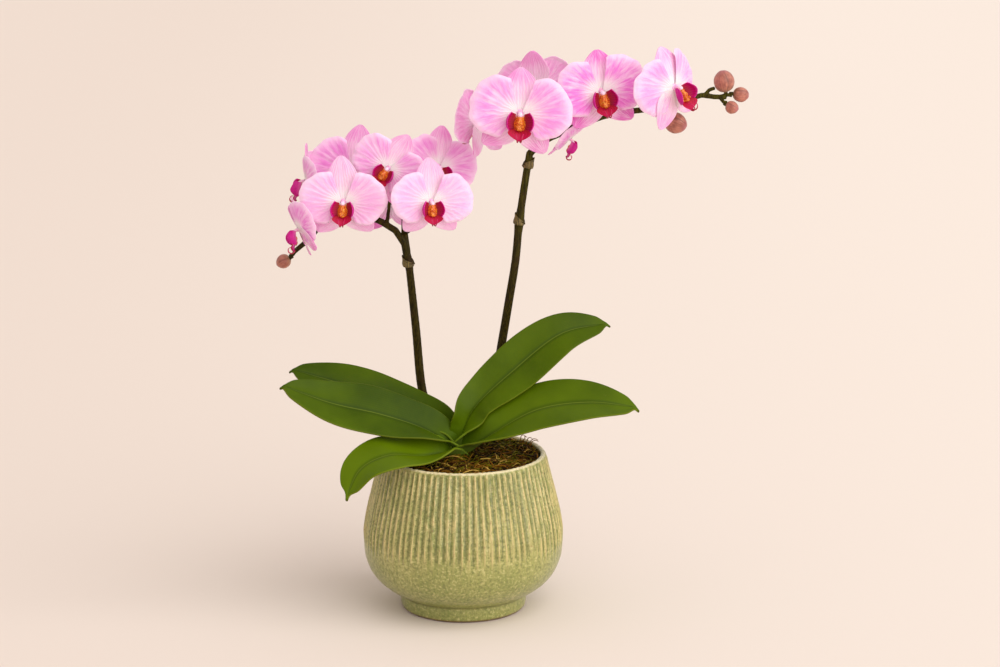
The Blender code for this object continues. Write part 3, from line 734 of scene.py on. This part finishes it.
# ------------------------ flower spikes
def make_spike(node, borne, material, husk):
    """The CAD stem with its stalks, remeshed and smoothed so that each stalk flows out of the stem.

    borne is the place of each bloom and bud with the radius that its stalk widens to there.
    """
    spike = bpy.data.objects.new(node + "_skin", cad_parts[node].data.copy())
    bpy.context.scene.collection.objects.link(spike)
    spike.data.materials.clear()
    spike.data.materials.append(material)
    remesh = spike.modifiers.new("skin", "REMESH")
    remesh.mode = "VOXEL"
    remesh.voxel_size = SKIN_VOXEL * MM
    remesh.use_smooth_shade = True
    smooth = spike.modifiers.new("flow", "SMOOTH")
    smooth.factor, smooth.iterations = 0.5, 8
    swell = spike.modifiers.new("full", "DISPLACE")
    swell.strength, swell.mid_level = 0.3 * MM, 0.0
    stands_for(spike, "stem", node)
    joints, bracts = Shape(), Shape()
    for owner, foot, up, radius in STEM_NODES:
        if owner == node:
            foot, up = Vector(foot), Vector(up).normalized()
            joints.egg(foot, (radius + 1.0, radius + 1.0, 4.6), up.to_track_quat("Z", "Y").to_matrix())
            add_bract(bracts, foot, up, radius, 9.0, foot.z)
    corners = [v.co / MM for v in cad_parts[node].data.vertices]
    for place, flare in borne:
        nearest = sorted(corners, key=lambda q: (q - place).length)[:4]
        end = sum(nearest, Vector()) / len(nearest)
        if (end - place).length < STALK_REACH:
            outward = (place - end).normalized()
            joints.tube([end - outward * 2.6, end, place - outward * 0.2 * flare], [1.3, 1.5, flare], 12)
    stands_for(joints.build(node + "_joints", [material]), "stem", node)
    sheath = bracts.build(node + "_bracts", [husk, husk])
    thicken(sheath, 0.6 * MM)
    stands_for(sheath, "stem", node)


def add_bract(shape, foot, up, radius, length, seed):
    """A sheath that clasps the stem above a joint and ends in a point to one side."""
    side = up.orthogonal().normalized()
    side = Matrix.Rotation(seed * 2.4, 3, up) @ side
    other = up.cross(side)

    def place(u, t):
        angle = 2.9 * t
        tall = length * (1 - 0.72 * abs(t) ** 1.3)
        r = radius + 0.5 + 0.7 * bell(u - 0.2, 0.3) + 0.3 * u**3 * (1 - abs(t))
        r += 0.2 * wobble(angle * 2, u * 4, seed)
        out = side * math.cos(angle) + other * math.sin(angle)
        return foot + out * r + up * (u * tall - 2.0)

    shape.sheet(16, 40, place, side)


# ------------------------ blooms
def centroid(node):
    """The centre of a CAD node's surface."""
    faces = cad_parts[node].data.polygons
    return sum((f.center * f.area for f in faces), Vector()) / sum(f.area for f in faces)


def bloom_matrix(name):
    """Where a bloom is and how it faces, from the centres of its CAD nodes, which lie on its mirror plane."""
    petals, sepals, lip = (centroid(f"flower_{name}_{whorl}") for whorl in ("petals", "sepals", "lip"))
    across = (lip - petals).cross(sepals - petals).normalized()
    size = (lip - petals).length / LIP_DISTANCE
    face = Matrix.Rotation(-LIP_ANGLE, 3, across) @ (lip - petals).normalized()
    up = face.cross(across)
    turn = Matrix((across, up, face)).transposed()
    hub = petals - turn @ PETALS_CENTRE * size
    return Matrix.Translation(hub) @ turn.to_4x4() @ Matrix.Scale(size, 4)


def petal_shape(side, rise, cup, sweep, rng):
    """A petal as a fan about its claw, dished, with a waved edge and faint ribs along its veins."""
    phase, wave, tilt = rng.uniform(0, 6), rng.uniform(0.7, 1.3), rng.uniform(-1.5, 1.5)
    notch = rng.uniform(-0.4, 0.5)

    def place(u, t):
        edge = 0.018 * math.sin(7 * t + phase) + 0.011 * math.sin(19 * t + 2 * phase)
        edge -= 0.03 * bell(t - notch, 0.08)
        reach = PETAL_REACH * (1 - 0.36 * (t - 0.1) ** 2 + edge)
        angle = math.radians(PETAL_RISE + rise + tilt + PETAL_SPREAD * t)
        r = 1.2 + u * (reach - 1.2)
        s = r / PETAL_REACH
        lift = cup * math.sin(math.pi * 0.62 * s) - 2.0 * t * t * s
        lift += wave * s**3 * (0.9 * math.sin(4.6 * t + phase) + 0.45 * math.sin(11 * t + 1.7 * phase))
        lift -= 1.4 * smoothstep(0.86, 1.0, u) ** 2
        lift -= 1.4 * bell(t - 0.08, 0.05) * s * (1 - s)
        out, back = 1.4 + r * math.cos(angle), math.radians(sweep)
        x, z = out * math.cos(back) + lift * math.sin(back), lift * math.cos(back) - out * math.sin(back)
        return side * x, 0.5 + r * math.sin(angle), 1.8 + z

    return place


def sepal_shape(length, angle, rng, width):
    """A sepal with a keel, slightly rolled edges and a tip that bends back."""
    phase, bend, sway = rng.uniform(0, 6), rng.uniform(2.5, 6.5), rng.uniform(-3, 3)
    c, s = math.cos(math.radians(angle)), math.sin(math.radians(angle))

    def place(u, t):
        half = width / 2 * (0.26 * (1 - u) + 0.92 * math.sin(math.pi * u**0.9) ** 0.75 + 0.10 * u)
        half *= 1 + 0.03 * math.sin(8 * u + phase)
        out, over = 1.5 + u * (length - 1.5), t * half + sway * u * u
        back = 0.5 + bend * u * u + 0.9 * t * t * math.sin(math.pi * u)
        back += 0.6 * math.sin(5 * u + 2 * t + phase) * u * abs(t)
        back += 0.45 * bell(t, 0.07) * math.sin(math.pi * min(1, u * 1.05))
        return out * c - over * s, out * s + over * c, -back

    return place


def wing_shape(side, rng):
    """A side lobe of the lip: an ear that stands up beside the callus and cups inward."""
    phase = rng.uniform(0, 6)

    def place(u, t):
        a = (t + 1) / 2
        base = Vector((side * 3.2, -12.5 * a, 5.0 + 3.6 * a))
        full = math.sin(math.pi * (0.05 + 0.9 * a)) ** 0.6
        rim = Vector((side * (5.2 + 6.8 * full), 2.6 - 17.0 * a, 7.5 + 9.0 * full))
        bulge = Vector((side * 2.6, 0, -1.5)) * math.sin(math.pi * u) * full
        curl = Vector((-side * 1.8, 0, 0.6)) * u**4 * full
        ruffle = 0.3 * math.sin(9 * a + phase) * u**3
        return base.lerp(rim, u) + bulge + curl + Vector((0, ruffle, ruffle))

    return place


def tongue_shape(u, t):
    """The lip's middle lobe: narrow at its claw, wide and arrow-shaped, with raised edges and a keel."""
    half = 3.0 * (1 - u) + 8.4 * math.sin(math.pi * min(1.0, u * 1.02)) ** 0.9 * (1 - 0.3 * u) + 1.2 * u
    middle = Vector((0, -11.0 - 9.5 * u, 9.0 + 8.5 * u - 3.0 * u * u))
    raised = 2.8 * t * t * math.sin(math.pi * u) - 0.7 * bell(t, 0.15) * (1 - u)
    return middle + Vector((half * t, 1.2 * t * t * math.sin(math.pi * u), raised))


def tendril_line(side):
    """One of the two whiskers at the tip of the lip: forward, then curling up and back."""
    line = [(side * 0.5, -19.0, 12.8), (side * 0.9, -20.6, 14.6)]
    for i in range(20):
        q = i / 19
        turn = math.radians(-90 + 215 * q)
        r = 3.9 * (1 - 0.35 * q)
        line.append((side * (1.2 + 2.4 * q), -17.2 + r * math.sin(turn), 16.6 + r * math.cos(turn)))
    return line


def column_shape(shape):
    """The column, a blunt finger over the middle of the bloom."""
    line = smooth_line([(0, 0, 0.6), (0, 0.4, 3), (0, -0.1, 6), (0, -1.4, 8.4), (0, -2.0, 9.2)], 0.6)
    radii = []
    for i in range(len(line)):
        q = i / (len(line) - 1)
        full = 1.9 - 0.3 * math.sin(math.pi * min(1, q * 1.3)) + 0.3 * bell(q - 0.8, 0.15)
        radii.append(full * (1 - q**7) ** 0.5 + 0.15)
    shape.tube(line, radii, 18, 1.0)


def make_bloom(name, materials):
    rise, cup, dorsal, depth, sweep = BLOOMS[name]
    rng = random.Random(name)
    matrix = bloom_matrix(name)
    title = "bloom_" + name
    sepals = Shape()
    for length, angle, width in ((dorsal, 90, DORSAL_WIDTH), (LATERAL_LENGTH, -LATERAL_DROP, SEPAL_WIDTH),
                                 (LATERAL_LENGTH, LATERAL_DROP - 180, SEPAL_WIDTH)):
        sepals.sheet(26, 16, sepal_shape(length, angle + rng.uniform(-3, 3), rng, width), (0, 0, 1), depth)
    made = sepals.build(title + "_sepals", [materials["sepal"], materials["sepal back"]], matrix)
    thicken(made, 0.55 * MM)
    stands_for(made, "sepal", f"flower_{name}_sepals")

    petals = Shape()
    for side in (1, -1):
        petals.sheet(26, 40, petal_shape(side, rise, cup, sweep, rng), (0, 0, 1), depth)
    made = petals.build(title + "_petals", [materials["petal"], materials["petal back"]], matrix)
    thicken(made, 0.5 * MM)
    stands_for(made, "petal", f"flower_{name}_petals")

    lip = Shape()
    for side in (1, -1):
        lip.sheet(12, 16, wing_shape(side, rng), (-side, 0, 1), 0.0)
    lip.sheet(16, 14, tongue_shape, (0, 0.4, 1), 1.0)
    made = lip.build(title + "_lip", [materials["lip"], materials["lip back"]], matrix)
    thicken(made, 0.6 * MM)
    stands_for(made, "lip", f"flower_{name}_lip")

    heart = Shape()
    column_shape(heart)
    heart.egg((0, 0.3, 0.9), (3.5, 3.3, 1.4), tint=1.0, rows=8, columns=16)

    def lumps(out):
        folds = 0.18 * math.cos(3 * math.atan2(out.x, out.z)) + 0.12 * math.sin(9 * out.y)
        return folds - 0.25 * bell(out.x, 0.16)

    tip = Matrix.Rotation(math.radians(-14), 3, "X")
    heart.egg((0, -8.4, 9.2), (4.4, 7.0, 3.4), tip, lumps, 0.0)
    for x, y, z, tall in ((2.0, -9.8, 12.2, 2.4), (-2.0, -9.8, 12.2, 2.4), (0, -7.0, 12.2, 1.8)):
        heart.egg((x, y, z), (0.95, 1.3, tall), tip, None, 0.0, rows=8, columns=10)
    for side in (1, -1):
        line = tendril_line(side)
        heart.tube(line, [0.65 * (1 - 0.7 * i / 21) for i in range(22)], 8, 2.0)
    made = heart.build(title + "_callus_and_column", [materials["heart"]], matrix)
    stands_for(made, "lip", f"flower_{name}_lip")


# ------------------------ buds
def make_bud(name, spike, material):
    """A closed bud, pointed away from its stalk, with the seams where its three sepals meet.

    It is made in metres, from its CAD box.
    """
    low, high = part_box(name)
    centre, radius = (Vector(low) + Vector(high)) / 2, min(Vector(high) - Vector(low)) / 2
    stalk = min((v.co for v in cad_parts[spike].data.vertices), key=lambda q: (q - centre).length)
    turn = (centre - stalk).to_track_quat("Z", "Y").to_matrix()
    s = Shape()
    rows, columns = 26, 48
    rings = []
    for i in range(rows + 1):
        a = math.pi * i / rows
        ring = []
        for j in range(columns if 0 < i < rows else 1):
            b = math.tau * j / columns
            twist = b - 0.35 * math.sin(a)
            seam = max(bell(math.remainder(twist - k * math.tau / 3, math.tau), 0.10) for k in range(3))
            seam *= max(0.0, math.sin(a)) ** 0.5
            r = radius * (1 - 0.055 * seam + 0.02 * wobble(math.cos(b) * 2, math.sin(b) * 2, a * 2))
            r *= 1 + 0.05 * math.cos(3 * b) * math.sin(a)
            tall = 1.07 + 0.05 * math.cos(a) ** 5
            local = Vector((math.sin(a) * math.cos(b), math.sin(a) * math.sin(b), tall * math.cos(a))) * r
            ring.append(s.add(centre + turn @ local, i / rows, j / columns, seam))
        rings.append(ring)
    for low_ring, high_ring in zip(rings, rings[1:]):
        for j in range(columns):
            k = (j + 1) % columns
            m, n = len(low_ring), len(high_ring)
            corners = [low_ring[j % m], high_ring[j % n], high_ring[k % n], low_ring[k % m]]
            s.face(list(dict.fromkeys(corners)))  # the end rings are one point each, so corners can repeat
    bud = s.build(name + "_skin", [material], Matrix.Identity(4))
    stands_for(bud, "bud", name)


# ------------------------ stage
def make_stage():
    """A wide sheet of pale paper, painted a little darker towards the left as shade from the sun, an even sky
    and one soft sun from the front right.
    """
    s = Shader("paper floor", Roughness=0.9)
    side = s.node("SeparateXYZ", {0: s.place()}, 0)
    # painted shade: the paper's colour darkens towards the left, away from the sun
    tone = s.mix(s.step(side, -0.75, 0.75), srgb(227, 212, 201), srgb(238, 226, 216))
    paper = s.finish(Base_Color=tone)
    floor = Shape()
    floor.sheet(2, 2, lambda u, t: ((u - 0.5) * FLOOR_SIDE, t * FLOOR_SIDE / 2, 0), (0, 0, 1))
    floor.build("paper_floor", [paper])

    world = bpy.data.worlds.new("studio")
    world.use_nodes = True
    sky = world.node_tree.nodes["Background"]
    sky.inputs["Color"].default_value = srgb(250, 242, 236)
    sky.inputs["Strength"].default_value = 0.76
    bpy.context.scene.world = world
    add_sun("key", (1.1, -1.05, 1.05), 78, 2.35)


def add_sun(name, towards, softness, strength):
    light = bpy.data.lights.new(name, "SUN")
    light.angle, light.energy = math.radians(softness), strength
    lamp = bpy.data.objects.new(name, light)
    bpy.context.scene.collection.objects.link(lamp)
    lamp.location = towards
    lamp.rotation_euler = Vector(towards).to_track_quat("Z", "Y").to_euler()


def make_camera():
    """A long lens, 2.4 m in front of the plant, that looks 13.1 degrees down."""
    camera = bpy.data.cameras.new("camera")
    camera.lens, camera.sensor_width = 111.0, 36.0
    camera.clip_end = 100
    holder = bpy.data.objects.new("camera", camera)
    bpy.context.scene.collection.objects.link(holder)
    holder.location = (0.02964, -2.38846, 0.78133)
    holder.rotation_euler = (math.radians(90 - 13.1), 0, 0)
    bpy.context.scene.camera = holder


# ------------------------ the whole plant
def main():
    bpy.context.scene.view_settings.view_transform = "Standard"
    make_camera()
    make_stage()

    husk = husk_material()
    stem = stem_material()
    make_pot(glaze_material())
    make_medium(soil_material("bark mix", srgb(40, 26, 14), srgb(110, 78, 46), 120))
    make_moss(soil_material("moss bed", srgb(22, 13, 2), srgb(70, 48, 8), 400), strand_material())
    make_crown(stem, husk)
    face = leaf_material("leaf face", srgb(34, 54, 0), srgb(88, 110, 2), 0.4)
    back = leaf_material("leaf back", srgb(74, 92, 26), srgb(112, 126, 48), 0.5)
    for name in LEAVES:
        make_leaf(name, face, back)
    hubs = [(bloom_matrix(name).translation / MM, HUB_RADIUS) for name in BLOOMS]
    hubs += [((Vector(low) + Vector(high)) / 2 / MM, BUD_BASE) for low, high in map(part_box, BUDS)]
    for name in ("spike_left", "spike_right"):
        make_spike(name, hubs, stem, husk)
    tissue = {
        "petal": petal_material(
            "petal", srgb(255, 240, 245), srgb(254, 204, 236), srgb(238, 122, 212), srgb(222, 88, 186),
            0.17, 0.2, 0.7),
        "petal back": petal_material(
            "petal back", srgb(252, 230, 242), srgb(252, 208, 236), srgb(242, 156, 214), srgb(226, 116, 186),
            0.24, 0.25, 0.8),
        "sepal": petal_material(
            "sepal", srgb(255, 238, 244), srgb(254, 206, 234), srgb(228, 92, 186), srgb(216, 84, 178),
            0.18, 0.46, 1.02),
        "sepal back": petal_material(
            "sepal back", srgb(252, 224, 238), srgb(250, 204, 232), srgb(234, 134, 196), srgb(216, 104, 170),
            0.26, 0.4, 1.0),
        "lip": lip_material(),
        "lip back": lip_back_material(),
        "heart": heart_material(),
    }
    for name in BLOOMS:
        make_bloom(name, tissue)
    bud = bud_material()
    for name, spike in BUDS.items():
        make_bud(name, spike, bud)

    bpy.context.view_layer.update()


main()
